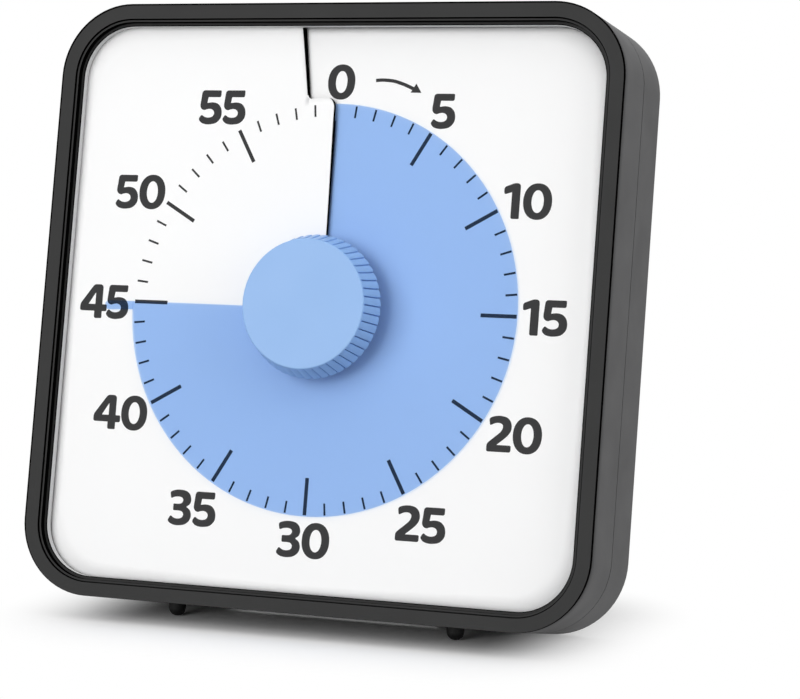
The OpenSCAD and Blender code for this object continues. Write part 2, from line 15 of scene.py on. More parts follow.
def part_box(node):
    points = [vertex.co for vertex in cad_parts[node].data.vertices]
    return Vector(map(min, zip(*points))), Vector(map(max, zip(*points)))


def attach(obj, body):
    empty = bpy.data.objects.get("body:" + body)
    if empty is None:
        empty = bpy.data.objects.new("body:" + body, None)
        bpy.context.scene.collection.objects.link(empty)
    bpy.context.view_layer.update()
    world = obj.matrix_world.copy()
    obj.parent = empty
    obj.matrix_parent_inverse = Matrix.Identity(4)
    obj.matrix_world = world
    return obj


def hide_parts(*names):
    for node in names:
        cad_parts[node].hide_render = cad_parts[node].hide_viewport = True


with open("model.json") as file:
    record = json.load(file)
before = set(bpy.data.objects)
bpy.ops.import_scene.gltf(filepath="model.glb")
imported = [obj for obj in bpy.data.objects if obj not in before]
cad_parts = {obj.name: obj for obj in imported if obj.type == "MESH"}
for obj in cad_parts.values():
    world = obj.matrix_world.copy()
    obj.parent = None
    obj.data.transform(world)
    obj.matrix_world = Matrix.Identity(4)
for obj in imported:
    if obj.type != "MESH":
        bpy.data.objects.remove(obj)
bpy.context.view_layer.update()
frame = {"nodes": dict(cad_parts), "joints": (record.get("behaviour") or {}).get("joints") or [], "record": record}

print("packed pieces:", len(frame["nodes"]))

# %% [markdown]
# Everything on the face is easier to place with the face's own rulers: u to the right, v up
# along the face and a depth behind the front band, all in millimetres. The knob's joint gives
# the middle of the dial and the direction into the face, so the rulers lie on the CAD exactly.
# %% Rulers of the leaning face
MM = 0.001
DIAL_DROP = 0.5  # the dial's middle lies this far below the middle of the face
knob_joint = next(j for j in frame["joints"] if j["name"] == "knob_turn")
INTO = Vector(knob_joint["axis"]).normalized()
UP = INTO.cross(Vector((1, 0, 0))).normalized()
if UP.z < 0:
    UP = -UP
MIDDLE = Vector(knob_joint["pos_m"]) + UP * DIAL_DROP * MM


def on_face(u, v, depth):
    """A point given by the face's rulers, as a place in the world in metres."""
    return MIDDLE + Vector((u, 0, 0)) * MM + UP * v * MM + INTO * depth * MM


def on_dial(r, clock, depth):
    """A point given by its distance from the dial's middle and its clock angle in degrees."""
    a = math.radians(clock)
    return on_face(r * math.sin(a), r * math.cos(a) - DIAL_DROP, depth)


print("face middle:", tuple(round(x, 5) for x in MIDDLE))
print("lean in degrees:", round(math.degrees(math.asin(UP.y)), 2))

# %% [markdown]
# The camera comes before the pieces, because each of them is then judged through it. The
# photograph was taken with a long lens from the right and a little below the face's normal,
# and it is cropped, so its optical centre lies left of the middle and a little high. A lens
# shift does the same here. The camera's place and its three directions are on the face's rulers.
# %% Camera
SENSOR = 36.0
PHOTO_WIDTH, FOCAL = 800, 2861.9  # in pixels
OFF_CENTRE = (0.1614, -0.0377)  # the lens shift, in widths of the picture
CAMERA_AT = (363.79, -82.39, -846.44)
CAMERA_AXES = [(0.91279, 0.07846, -0.40083),  # to the right
               (-0.03811, 0.99346, 0.10767),  # up
               (0.40665, -0.08300, 0.90980)]  # backwards
cam_data = bpy.data.cameras.new("camera")
cam_data.sensor_fit = "HORIZONTAL"
cam_data.sensor_width = SENSOR
cam_data.lens = SENSOR * FOCAL / PHOTO_WIDTH
cam_data.shift_x, cam_data.shift_y = OFF_CENTRE
cam_data.clip_end = 20
camera = bpy.data.objects.new("camera", cam_data)
bpy.context.scene.collection.objects.link(camera)
bpy.context.scene.camera = camera
placed = camera.matrix_world.copy()
for i, (across, up, out) in enumerate(CAMERA_AXES):
    axis = Vector((across, 0, 0)) + UP * up - INTO * out
    for k in range(3):
        placed[k][i] = axis[k]
placed.translation = on_face(*CAMERA_AT)
camera.matrix_world = placed
print("camera at", tuple(round(x, 3) for x in placed.translation), "lens", round(cam_data.lens, 1))

# %% [markdown]
# A moulded shape is a stack of loops: each loop has the same number of points, and a skin of
# four-sided faces joins it to the next. One helper makes that skin, closes its ends if asked,
# and shades it so that fillets are smooth while hard corners stay crisp. The weighted normals
# keep large flat faces flat next to their small fillets.
# %% Helpers that make meshes
def finish_mesh(name, bm, body, material, hard=35, merge=0.0):
    """Turns a bmesh into a piece that rides on a body and has a finish. Edges sharper than hard,
    in degrees, stay crisp, and points closer than merge, in metres, are welded first."""
    if merge:
        bmesh.ops.remove_doubles(bm, verts=bm.verts, dist=merge)
    bmesh.ops.recalc_face_normals(bm, faces=bm.faces)
    mesh = bpy.data.meshes.new(name)
    bm.to_mesh(mesh)
    bm.free()
    piece = bpy.data.objects.new(name, mesh)
    bpy.context.scene.collection.objects.link(piece)
    shade(piece, hard)
    for m in material if isinstance(material, list) else [material]:
        mesh.materials.append(m)
    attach(piece, body)
    print(name, "faces:", len(mesh.polygons))
    return piece


def shade(piece, hard):
    """Smooth shading with hard edges where faces meet at more than the angle, in degrees."""
    mesh = piece.data
    mesh.polygons.foreach_set("use_smooth", [True] * len(mesh.polygons))
    mesh.set_sharp_from_angle(angle=math.radians(hard))
    flat = piece.modifiers.new("flat faces", "WEIGHTED_NORMAL")
    flat.keep_sharp = True


def skin(bm, loops, ring=False, caps=(False, False)):
    """Joins closed loops of points with faces. ring: the last loop is joined to the first.
    caps: fill the first and the last loop."""
    made = [[bm.verts.new(p) for p in loop] for loop in loops]
    count = len(made[0])
    pairs = list(zip(made, made[1:] + made[:1] if ring else made[1:]))
    for low, high in pairs:
        for i in range(count):
            j = (i + 1) % count
            bm.faces.new((low[i], low[j], high[j], high[i]))
    if caps[0]:
        bm.faces.new(list(reversed(made[0])))
    if caps[1]:
        bm.faces.new(made[-1])


def fillet(points, steps):
    """Rounds a closed outline of (x, y, radius) corners with true arcs."""
    out = []
    n = len(points)
    for i, (x, y, r) in enumerate(points):
        a = Vector(points[i - 1][:2]) - Vector((x, y))
        b = Vector(points[(i + 1) % n][:2]) - Vector((x, y))
        if r <= 0:
            out.append((x, y))
            continue
        half = a.angle(b) / 2
        cut = r / math.tan(half)
        start = Vector((x, y)) + a.normalized() * cut
        end = Vector((x, y)) + b.normalized() * cut
        inwards = (a.normalized() + b.normalized()).normalized()
        centre = Vector((x, y)) + inwards * r / math.sin(half)
        s, e = start - centre, end - centre
        sweep = s.angle_signed(e)
        for k in range(steps + 1):
            t = -sweep * k / steps
            c, d = math.cos(t), math.sin(t)
            out.append((centre.x + s.x * c - s.y * d, centre.y + s.x * d + s.y * c))
    return out


# %% [markdown]
# The body's outline is a rounded square. Every ring of the front, and the front shell, follow
# the same outline moved inwards, so their gaps stay even round the corners. In the photo the
# front's inner lines sit a little off the outline's middle, so they are moved over.
# %% The body's outline
HALF_W, HALF_H, CORNER = 99.0, 99.5, 24.5
OPENING = (0.28, -0.34)  # how far the front's inner lines sit off the outline's middle
EDGE = (0.28, -0.28)  # the same for the outer edge of the band's face
EDGE_FROM, EDGE_TO = 0.3, 0.8  # a profile's point between these insets lies on that edge


def inset_of(u, v):
    """How far inside the outline a point lies."""
    du, dv = abs(u) - (HALF_W - CORNER), abs(v) - (HALF_H - CORNER)
    return CORNER - math.hypot(max(du, 0), max(dv, 0)) - min(max(du, dv), 0)


def outline(inset, shift=(0, 0), steps=18):
    """Points (u, v) round the body's outline, a rounded rectangle moved inwards by inset."""
    r = max(CORNER - inset, 0.05)
    w, h = HALF_W - inset - r, HALF_H - inset - r
    points = []
    for k, (sx, sy) in enumerate([(1, 1), (-1, 1), (-1, -1), (1, -1)]):
        for i in range(steps + 1):
            a = math.radians(90 * (k + i / steps))
            points.append((shift[0] + sx * w + r * math.cos(a),
                           shift[1] + sy * h + r * math.sin(a)))
    return points


def band(name, profile, materials, shifted=2.0, finish_and_shade_of=None):
    """Sweeps a closed profile of (inset, depth) points round the body's outline. Points at least shifted inside
    the outline follow the opening. finish_and_shade_of gives a face's finish, black painted shade on walls and
    undercuts among them, from its middle's depth and from how squarely it faces the viewer, 0 to 1. A sweep that
    has it is part of the front, so its point on the edge of the band's face follows that edge."""
    bm = bmesh.new()
    loops = []
    for inset, d in profile:
        on_edge = finish_and_shade_of and EDGE_FROM < inset < EDGE_TO
        shift = OPENING if inset >= shifted else EDGE if on_edge else (0, 0)
        loops.append([on_face(u, v, d) for u, v in outline(inset, shift)])
    skin(bm, loops, ring=True)
    if finish_and_shade_of:
        bmesh.ops.recalc_face_normals(bm, faces=bm.faces)
        for f in bm.faces:
            depth = (f.calc_center_median() - MIDDLE).dot(INTO) / MM
            f.material_index = finish_and_shade_of(depth, abs(f.normal.dot(INTO)))
    return finish_mesh(name, bm, "body", materials)


print("outline points:", len(outline(0)))

# %% [markdown]
# Moulded plastic is never one flat colour. Up close it has a fine spark-eroded grain, and its
# gloss drifts a little from place to place. One recipe makes all the plastics: a base colour
# that a slow noise shifts by a few percent, a roughness that another noise shifts, and a bump
# from a fine grain. A noise's scale counts its lumps in a metre, so a grain of 2500 has lumps of
# about 0.4 mm. This cell makes the recipe, and the next one uses it.
# %% Recipe for a plastic
NOISE_LOW, NOISE_HIGH = 0.3, 0.7  # nearly all values of a noise lie between these
LUMPS, PATCHES = 25, 60  # scales of the slow noises of colour and of gloss
GRAIN_HEIGHT = 0.05 * MM
COLOUR_A, COLOUR_B, COLOUR_OUT = 6, 7, 2  # the colour sockets of a mix node


def linear(r, g, b):
    """A colour given as it looks on screen, 0 to 255, for a shader's socket."""
    def one(c):
        c /= 255
        return c / 12.92 if c <= 0.04045 else ((c + 0.055) / 1.055) ** 2.4
    return (one(r), one(g), one(b), 1)


def noise_into(tree, scale, detail, low, high, coord):
    """A noise node, and its values spread out to run from low to high."""
    noise = tree.nodes.new("ShaderNodeTexNoise")
    noise.inputs["Scale"].default_value = scale
    noise.inputs["Detail"].default_value = detail
    tree.links.new(coord, noise.inputs["Vector"])
    spread = tree.nodes.new("ShaderNodeMapRange")
    spread.inputs["From Min"].default_value = NOISE_LOW
    spread.inputs["From Max"].default_value = NOISE_HIGH
    spread.inputs["To Min"].default_value = low
    spread.inputs["To Max"].default_value = high
    tree.links.new(noise.outputs["Fac"], spread.inputs["Value"])
    return noise, spread.outputs["Result"]


def colour_mix(tree, factor, *colours):
    """A mix node that goes from the first colour to the second as the factor rises."""
    mix = tree.nodes.new("ShaderNodeMix")
    mix.data_type = "RGBA"
    for socket, colour in zip((COLOUR_A, COLOUR_B), colours):
        mix.inputs[socket].default_value = colour
    tree.links.new(factor, mix.inputs["Factor"])
    return mix


def plastic(name, colour, rough=0.45, grain=2500, bump=0.15, shift=0.04, metal=0.0, level=0.5,
            drift=0.04, coat=0.0):
    """A moulded or metal finish with grain, a slow colour shift and a drift in gloss."""
    mat = bpy.data.materials.new(name)
    mat.use_nodes = True
    tree = mat.node_tree
    shader = tree.nodes["Principled BSDF"]
    shader.inputs["Metallic"].default_value = metal
    shader.inputs["Specular IOR Level"].default_value = level
    shader.inputs["Coat Weight"].default_value = coat
    where = tree.nodes.new("ShaderNodeTexCoord").outputs["Object"]
    _, slow = noise_into(tree, LUMPS, 3, 0, 1, where)
    base = linear(*colour)[:3]
    darker = tuple(c * (1 - shift) for c in base) + (1,)
    lighter = tuple(min(c * (1 + shift), 1) for c in base) + (1,)
    mix = colour_mix(tree, slow, darker, lighter)
    tree.links.new(mix.outputs[COLOUR_OUT], shader.inputs["Base Color"])
    _, gloss = noise_into(tree, PATCHES, 4, rough - drift, rough + drift, where)
    tree.links.new(gloss, shader.inputs["Roughness"])
    fine, _ = noise_into(tree, grain, 2, 0, 1, where)
    bumped = tree.nodes.new("ShaderNodeBump")
    bumped.inputs["Strength"].default_value = bump
    bumped.inputs["Distance"].default_value = GRAIN_HEIGHT
    tree.links.new(fine.outputs["Fac"], bumped.inputs["Height"])
    tree.links.new(bumped.outputs["Normal"], shader.inputs["Normal"])
    return mat


print("a plastic's colour sockets:", COLOUR_A, COLOUR_B, "scales of its noises:", LUMPS, PATCHES)

# %% [markdown]
# Each finish is one line: the colour as it looks on screen, how rough it is, how much grain it
# has, and how much light it mirrors. Satin parts mirror very little, because a band that shines
# would turn pale towards the lamps. The metals have the same recipe with the metal value up.
# %% Finishes
band_grey = plastic("band satin grey", (51, 51, 51), rough=0.5, bump=0.10, level=0.08, shift=0.02)
shell_grey = plastic("shell grained grey", (72, 72, 73), rough=0.55, bump=0.25, level=0.25)
trim_grey = plastic("trim satin grey", (48, 48, 48), rough=0.5, bump=0.10, level=0.08)
# the ring's walls, lighter copies of its grey as painted light: mid-grey deep down and pale near the front
trim_wall_painted_light = plastic("trim wall painted light", (118, 118, 119), rough=0.5, bump=0.10, level=0.15)
tray_wall_painted_light = plastic("tray wall painted light grey", (205, 205, 205), rough=0.6, bump=0.05, level=0.1)
dial_white = plastic("dial white", (250, 250, 250), rough=0.55, bump=0.05, shift=0.004, level=0.1)
# black painted shade, for walls, undercuts, cut edges and the dial's back, where shade falls
shade_black = plastic("painted shade black", (3, 3, 3), rough=0.7, bump=0.05, level=0.0)
ink_grey = plastic("print ink", (54, 54, 55), rough=0.6, bump=0.05, shift=0.02, level=0.1)
knob_blue = plastic("knob satin blue", (143, 181, 230), rough=0.42, bump=0.08, shift=0.012,
                    level=0.3)
foot_rubber = plastic("foot rubber", (12, 12, 12), rough=0.6, bump=0.2, level=0.3)
steel = plastic("bright steel", (196, 198, 202), rough=0.3, bump=0.1, metal=1.0)
brass = plastic("plain brass", (201, 165, 86), rough=0.35, bump=0.1, metal=1.0)
gear_cream = plastic("gear cream", (226, 221, 203), rough=0.45)
case_black = plastic("movement black", (46, 46, 48), rough=0.5)
inner_grey = plastic("chassis grey", (112, 115, 120), rough=0.55)
iron = plastic("stamped iron", (128, 131, 136), rough=0.45, metal=1.0)
copper = plastic("enamelled wire", (176, 104, 56), rough=0.3, metal=0.6, coat=0.4)
board_green = plastic("board lacquer", (46, 108, 68), rough=0.35, coat=0.3)
cell_metal = plastic("cell sleeve", (126, 130, 136), rough=0.35, metal=0.7)
slider_pale = plastic("slider pale grey", (210, 212, 214), rough=0.45)
print("finishes:", len(bpy.data.materials))

# %% [markdown]
# The film is thin clear plastic dyed blue. Light passes it twice, once down to the white dial
# and once back, so the dye's colour is about the root of the blue that is seen. A mix of a
# tinted see-through shader and a little plain blue gives the print below it a blue haze.
# %% Film finish
DYE = (0.76, 0.852, 0.975, 1)  # the share of red, green and blue that one pass lets through
HAZE = 0.015  # the share of plain blue
SHEEN = (0.41, 0.49)  # its roughness, at its glossiest and at its dullest
FILM_LUMPS = 18
film_blue = bpy.data.materials.new("film clear blue")
film_blue.use_nodes = True
tree = film_blue.node_tree
gloss = tree.nodes["Principled BSDF"]
where = tree.nodes.new("ShaderNodeTexCoord").outputs["Object"]
_, sheen = noise_into(tree, PATCHES, 4, *SHEEN, where)
tree.links.new(sheen, gloss.inputs["Roughness"])
gloss.inputs["Specular IOR Level"].default_value = 0.3
_, slow = noise_into(tree, FILM_LUMPS, 2, 0, 1, where)
dye = colour_mix(tree, slow, linear(132, 172, 238), linear(138, 177, 241))
tree.links.new(dye.outputs[COLOUR_OUT], gloss.inputs["Base Color"])
clear = tree.nodes.new("ShaderNodeBsdfTransparent")
clear.inputs["Color"].default_value = DYE
blend = tree.nodes.new("ShaderNodeMixShader")
blend.inputs["Fac"].default_value = HAZE
tree.links.new(clear.outputs[0], blend.inputs[1])
tree.links.new(gloss.outputs[0], blend.inputs[2])
tree.links.new(blend.outputs[0], tree.nodes["Material Output"].inputs["Surface"])
print("film:", film_blue.name, "dye:", DYE[:3], "haze:", HAZE)

# %% [markdown]
# The front band is a flat frame with crisp edges. Its outer edge is a narrow chamfer, and behind that the real
# band is cut away, whose shade shows as a black line between it and the shell. The sweep copies this shape: the
# profile goes over the chamfer and back in under the band. Only faces that look at the viewer are grey, and all
# the others, the chamfer included, are painted black as painted shade.
# %% Front band
BAND_IN, BAND_BACK = 4.9, 2.2
SQUARE, FLUSH = 0.97, 0.01  # how squarely a grey face looks out, and its greatest depth


def shade_painted_walls(depth, square):
    """Finish 0 for faces that look at the viewer, and 1, black painted shade, for walls and undercuts."""
    return 0 if square > SQUARE and depth < FLUSH else 1


band_profile = fillet([(0.38, 0, 0), (0.1, 0.03, 0), (0.06, 0.21, 0), (0.0, 0.5, 0), (0.0, 1.75, 0),
                       (0.9, 1.95, 0), (1.6, 1.95, 0), (1.6, BAND_BACK, 0), (BAND_IN, BAND_BACK, 0),
                       (BAND_IN, 0, 0.08)], 3)
front_band = band("front_band", band_profile, [band_grey, shade_black],
                  finish_and_shade_of=shade_painted_walls)
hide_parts("front_bezel")

# %% [markdown]
# The shells are two cups that meet on a fine line round the middle. Towards the band the front
# one draws in a little, so that the band's edge stands over it and shades it. A chamfer at the
# parting line makes the line show as it does on real mouldings.
# %% Front shell
PARTING, SHELL_T = 22.15, 2.2  # depth of the parting line, and the wall's thickness
UNSHIFTED = 9.0  # no point of the shell lies this far in, so it all stays on the outline
shell_profile = [(1.9, 2.25), (0.95, 2.25), (0.5, 2.5), (0.25, 2.9), (0.1, 3.5), (0.03, 4.3),
                 (0.0, 5.4), (0.0, PARTING - 0.25), (0.25, PARTING), (SHELL_T, PARTING),
                 (SHELL_T, 2.8)]
front_shell = band("front_shell_skin", shell_profile, shell_grey,
                   shifted=UNSHIFTED)
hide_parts("front_shell")

# %% [markdown]
# Between the band and the dial sits a dark trim ring with two narrow steps. What looks at the viewer is grey, and
# the walls of the steps are painted black as painted shade. The tray's wall, next to the white dial, is painted
# paler as painted light from the dial: pale near the front and mid-grey deeper down. So each step shows as a thin
# line.
# %% Trim ring
RING_IN, RING_BACK = 6.9, 8.4
STEPS_END, PALE_END, TRAY_END = 3.0, 5.4, 8.0  # depths at which the finish changes
FACING = 0.9  # how squarely a grey step looks out


def ring_finish_and_shade(depth, square):
    """Finish of a face of the ring: 0 grey steps, 1 walls and back painted black as shade, 2 deep wall painted
    mid-grey as light, 3 front part of the tray's wall painted pale as light from the dial.
    """
    if square > FACING and depth < STEPS_END:
        return 0
    if depth < STEPS_END or depth > TRAY_END:
        return 1
    return 3 if depth < PALE_END else 2


ring_profile = [(5.15, 2.35), (5.15, 0.7), (5.2, 0.65), (5.8, 0.65), (5.85, 0.7), (5.85, 2.75),
                (6.62, 2.75), (RING_IN, STEPS_END), (RING_IN, PALE_END), (RING_IN, RING_BACK),
                (2.6, RING_BACK), (2.6, 2.35)]
trim_ring = band("trim_ring", ring_profile,
                 [trim_grey, shade_black, trim_wall_painted_light, tray_wall_painted_light], finish_and_shade_of=ring_finish_and_shade)
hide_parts("dial_ring")

# %% [markdown]
# The dial is one white sheet, cut from the rim to the middle, that rises by less than two
# millimetres in a full turn. The left side of the cut lies over the right side, and the film
# slips through between them. The sheet is laid out in columns, one every degree and a half,
# and its cut has a step near the zero mark, with small round corners.
# %% The dial's slope and its edges
DIAL_LOW, PITCH, SHEET_T = 7.0, 1.8, 0.5  # depth at zero, rise in a turn, and thickness
DIAL_HOLE, TUCK_R, STEP_R = 12.0, 62.0, 69.5  # the hole, where the tuck begins, and the step
STEP_DEG = 7.95  # how far left of the zero mark the outer part of the cut lies
ROUND, TIP_ROUND = 1.3, 3.0  # radius of the step's inner corner, and of the tongue's tip


def slope(clock):
    """Depth of the dial's face at a clock angle."""
    return DIAL_LOW - PITCH * clock / 360


def rim(clock):
    """Distance from the dial's middle to the sheet's rim, just inside the trim ring's wall."""
    a = math.radians(clock)
    near, far = 80.0, 140.0
    for _ in range(40):  # halve the gap until it is nothing
        r = (near + far) / 2
        inset = inset_of(r * math.sin(a) - OPENING[0], r * math.cos(a) - DIAL_DROP - OPENING[1])
        near, far = (near, r) if inset < RING_IN else (r, far)
    return near


def arc_deg(mm):
    """Degrees that a length takes up at the step's radius."""
    return math.degrees(mm / STEP_R)


def strip(bm, columns, rows, place):
    """A patch of a sheet: columns are (clock, inner radius, outer radius), and place puts a
    radius and a clock angle into the world."""
    made = [[bm.verts.new(place(r0 + (r1 - r0) * k / rows, a)) for k in range(rows + 1)]
            for a, r0, r1 in columns]
    for left, right in zip(made, made[1:]):
        for k in range(rows):
            bm.faces.new((left[k], left[k + 1], right[k + 1], right[k]))


def angles(first, last, step=1.5):
    """Evenly spaced angles from first to last."""
    count = max(1, round((last - first) / step))
    return [first + (last - first) * i / count for i in range(count + 1)]


print("dial depth:", slope(0), "to", slope(360), "rim:", [round(rim(a), 1) for a in (0, 45, 90)])

# %% [markdown]
# The patches share their edges, so they weld into one sheet. The inner corner of the step is filled by short outer
# columns, and the tip of the tongue is rounded by shortening its last columns. A solidify modifier then gives the
# sheet its thickness, with its cut edge and its back painted black as painted shade, so that the gap under the
# raised side looks dark.
# %% Dial sheet
LEAN, LEAN_FROM, LEAN_OVER = 0.4, 61, 27  # the edge moves over by 0.4 mm in 27 mm, below r 61
FINE = 0.5  # degrees between the sheet's columns near its cut


def white_place(r, clock):
    """A point of the dial's face."""
    return on_dial(r, clock, slope(clock))


def lean(r):
    """The tongue's edge doesn't quite aim at the middle: its angle past the zero mark."""
    return math.degrees(LEAN * max(0, LEAN_FROM - r) / LEAN_OVER / r)


def tongue_place(r, clock):
    """Like white_place, with the edge at clock 360 moved over to where the tongue ends."""
    return white_place(r, clock + lean(r) * (clock - tip) / (360 - tip))


def on_tip(t, inwards=0.0, last=360):
    """A point (clock, radius) on the tongue's round tip: t degrees round it, from its outer side
    to its edge at clock last, and moved inwards."""
    a = math.radians(t)
    return (tip + (last - tip) * (1 - inwards / TIP_ROUND) * math.sin(a),
            STEP_R - TIP_ROUND + (TIP_ROUND - inwards) * math.cos(a))


bm = bmesh.new()
end = 360 - STEP_DEG
tip = 360 - arc_deg(TIP_ROUND)
tucked, around, neck = angles(-STEP_DEG, 0, FINE), angles(0, end), angles(end, tip, FINE)[1:]
strip(bm, [(a, DIAL_HOLE, TUCK_R) for a in around + neck], 8, white_place)
strip(bm, [(a, TUCK_R, STEP_R) for a in tucked + around[1:] + neck], 3, white_place)
strip(bm, [(a, STEP_R, rim(a)) for a in tucked + around[1:]], 8, white_place)
inside = [(end + arc_deg(ROUND * t), STEP_R, STEP_R + ROUND * (1 - math.sqrt(1 - (1 - t) ** 2)))
          for t in [i / 6 for i in range(7)]]
strip(bm, inside, 1, white_place)
tongue = [on_tip(t) for t in range(0, 91, 15)]
strip(bm, [(a, DIAL_HOLE, TUCK_R) for a, _ in tongue], 8, tongue_place)
strip(bm, [(a, TUCK_R, r) for a, r in tongue], 3, white_place)
dial_sheet = finish_mesh("dial_sheet", bm, "body", [dial_white, shade_black],
                         hard=50, merge=1e-7)
thick = dial_sheet.modifiers.new("thickness", "SOLIDIFY")
thick.thickness = SHEET_T * MM
thick.offset = -1
# the sheet's back and cut edge take the black painted shade
thick.material_offset = 1
thick.material_offset_rim = 1
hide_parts("dial_plate")

# %% [markdown]
# The solidify modifier grows the sheet along its normals, so their side matters: they have to
# look at the viewer. The check below turns the sheet over if they don't.
# %% Turn a sheet to face the viewer
def face_viewer(piece):
    """Flips a sheet whose normals point into the body."""
    mesh = piece.data
    mean = sum((p.normal * p.area for p in mesh.polygons), Vector())
    if mean.dot(INTO) > 0:
        mesh.flip_normals()
    print(piece.name, "faces the viewer:", mean.dot(INTO) <= 0)


face_viewer(dial_sheet)

# %% [markdown]
# Seen from the right, the cut shows as a black line, the shade under the raised side. A deep black lip paints that
# shade: a thin wall under the edge. It stops short of the tongue, where the film and its pointer have to pass, and
# there it is only as deep as the film leaves room for.
# %% Black lip of the cut
LIP_T, LAP, FILM_ROOM = 0.5, 0.02, 0.95  # thickness, overlap with the sheet, room for the film


def wall(bm, path, depths):
    """A thin wall along a path of points (r, clock). depths gives its two depths at a point."""
    loops = []
    for r, a in path:
        top, low = depths(r, a)
        back = a - math.degrees(LIP_T / r)
        loops.append([on_dial(r, a, top), on_dial(r, a, low), on_dial(r, back, low),
                      on_dial(r, back, top)])
    skin(bm, loops, caps=(True, True))


bm = bmesh.new()
outer_path = [(rim(end), end), (90, end), (80, end), (STEP_R + ROUND, end)]
outer_path += [(r, a) for a, _, r in inside[1:6]]
wall(bm, outer_path, lambda r, a: (slope(a) + SHEET_T - LAP, slope(a - 360) - LAP))
tongue_path = [(r, a) for a, r in tongue[1:]]
tongue_path += [(r, 360 + lean(r)) for r in (60, 45, 30, 20, DIAL_HOLE)]
wall(bm, tongue_path, lambda r, a: (slope(a) + SHEET_T - LAP, slope(a - 360) - FILM_ROOM))
finish_mesh("cut_lip", bm, "body", shade_black, hard=30)

# %% [markdown]
# All print, and the black painted shade along the cut, is a thin skin just proud of the sheet. An outline is drawn
# flat and filled with triangles, and then each of its points is put at the depth that the dial has there. So each
# mark follows the slope, and each shape is closed all round.
# %% Print and painted shade that follow the dial
# the same skin serves the print and the black painted shade along the cut
MARK_T, MARK_IN = 0.03, 0.01  # how far the ink stands out of the sheet and reaches into it


def dial_mark(bm, points, holes=(), clock_of=None, lift=0.0):
    """A flat shape on the dial, print or painted shade: outline points (u, v), holes likewise. clock_of says which
    turn of the sheet a point lies on, where its clock angle leaves that open."""
    loops = [points] + list(holes)
    flat = [[Vector((u, v, 0)) for u, v in loop] for loop in loops]
    faces = geometry.tessellate_polygon(flat)
    every = [p for loop in flat for p in loop]

    def place(p, d):
        clock = math.degrees(math.atan2(p.x, p.y + DIAL_DROP))
        clock = clock_of(clock) if clock_of else clock % 360
        return on_face(p.x, p.y, slope(clock) - d - lift)

    front = [bm.verts.new(place(p, MARK_T)) for p in every]
    back = [bm.verts.new(place(p, -MARK_IN)) for p in every]
    for a, b, c in faces:
        bm.faces.new((front[a], front[b], front[c]))
        bm.faces.new((back[c], back[b], back[a]))
    at = 0
    for loop in flat:
        n = len(loop)
        for i in range(n):
            j = (i + 1) % n
            bm.faces.new((front[at + i], back[at + i], back[at + j], front[at + j]))
        at += n


def polar(r, clock):
    """The (u, v) of a point given by radius and clock angle."""
    a = math.radians(clock)
    return r * math.sin(a), r * math.cos(a) - DIAL_DROP


print("print stands out by", MARK_T, "mm at the zero mark", [round(x, 2) for x in polar(STEP_R, 0)])

# %% [markdown]
# The edge of the raised side carries painted shade on its face too: a black line, widest at the rim, that stands
# for the shade of the step. The line is two flat shapes, one for each side of the step. Each starts from the
# sheet's edge and is as wide as the photo shows. Round the tongue's tip it begins thin and then widens.
# %% Black line of painted shade along the cut
RIM_LINE = [(rim(end) - 0.05, 0.7), (90, 0.58), (84, 0.45), (78, 0.35), (STEP_R + ROUND, 0.25)]
TONGUE_LINE = [(60, 0.25), (40, 0.15), (30, 0.15), (22, 0.15)]  # both: radius, line's width
TIP_LINE = [(15, 0.03), (30, 0.12), (45, 0.25), (60, 0.35), (75, 0.35), (90, 0.3)]  # degrees, width
# LAST keeps the black painted shade on the raised side of the cut
LAST = 359.99  # just short of a full turn, so that the ink stays on the raised side


def upper_turn(clock):
    """The clock angle of a point on the raised side, where it goes on past 360."""
    return clock % 360 + (360 if clock % 360 < 180 else 0)


bm = bmesh.new()
dial_mark(bm, [polar(r, end) for r, w in RIM_LINE]
    + [polar(r, end - math.degrees(w / r)) for r, w in reversed(RIM_LINE)])
edge = [(r, LAST + lean(r), w) for r, w in TONGUE_LINE]
curve = [on_tip(t, 0.0, LAST) for t, w in TIP_LINE]
trimmed = [on_tip(t, w, LAST) for t, w in TIP_LINE]
dial_mark(bm, [polar(r, a) for a, r in curve] + [polar(r, a) for r, a, w in edge]
    + [polar(r, a - math.degrees(w / r)) for r, a, w in reversed(edge)]
    + [polar(r, a) for a, r in reversed(trimmed)], clock_of=upper_turn)
finish_mesh("cut_line", bm, "body", shade_black, hard=30)

# %% [markdown]
# Sixty short strokes mark the minutes, and every fifth is longer and wider. The zero has none,
# because the cut is there. They are printed on the dial, so the film lies over them.
# %% Minute marks
TICK_END = 67.2
LONG_TICK, SHORT_TICK = (55.1, 0.63), (63.3, 0.34)  # inner end, and half the width
bm = bmesh.new()
for minute in range(1, 60):
    start, half = SHORT_TICK if minute % 5 else LONG_TICK
    clock = 6 * minute
    a = math.radians(clock)
    side = (math.cos(a) * half, -math.sin(a) * half)
    corners = []
    for r, s in ((start, -1), (TICK_END, -1), (TICK_END, 1), (start, 1)):
        u, v = polar(r, clock)
        corners.append((u + s * side[0], v + s * side[1]))
    dial_mark(bm, corners)
finish_mesh("minute_marks", bm, "body", ink_grey, hard=30)

# %% [markdown]
# The numerals are bold and round, as on a child's clock. Each is drawn once as an outline in
# millimetres: a point with two numbers is passed by a smooth curve, and a point with three is
# a corner, cut off by the third number and rounded. So an outline needs few points, and none of
# its curves has to be drawn by hand.
# %% Outlines from points and corners
CORNER_STEPS = 6


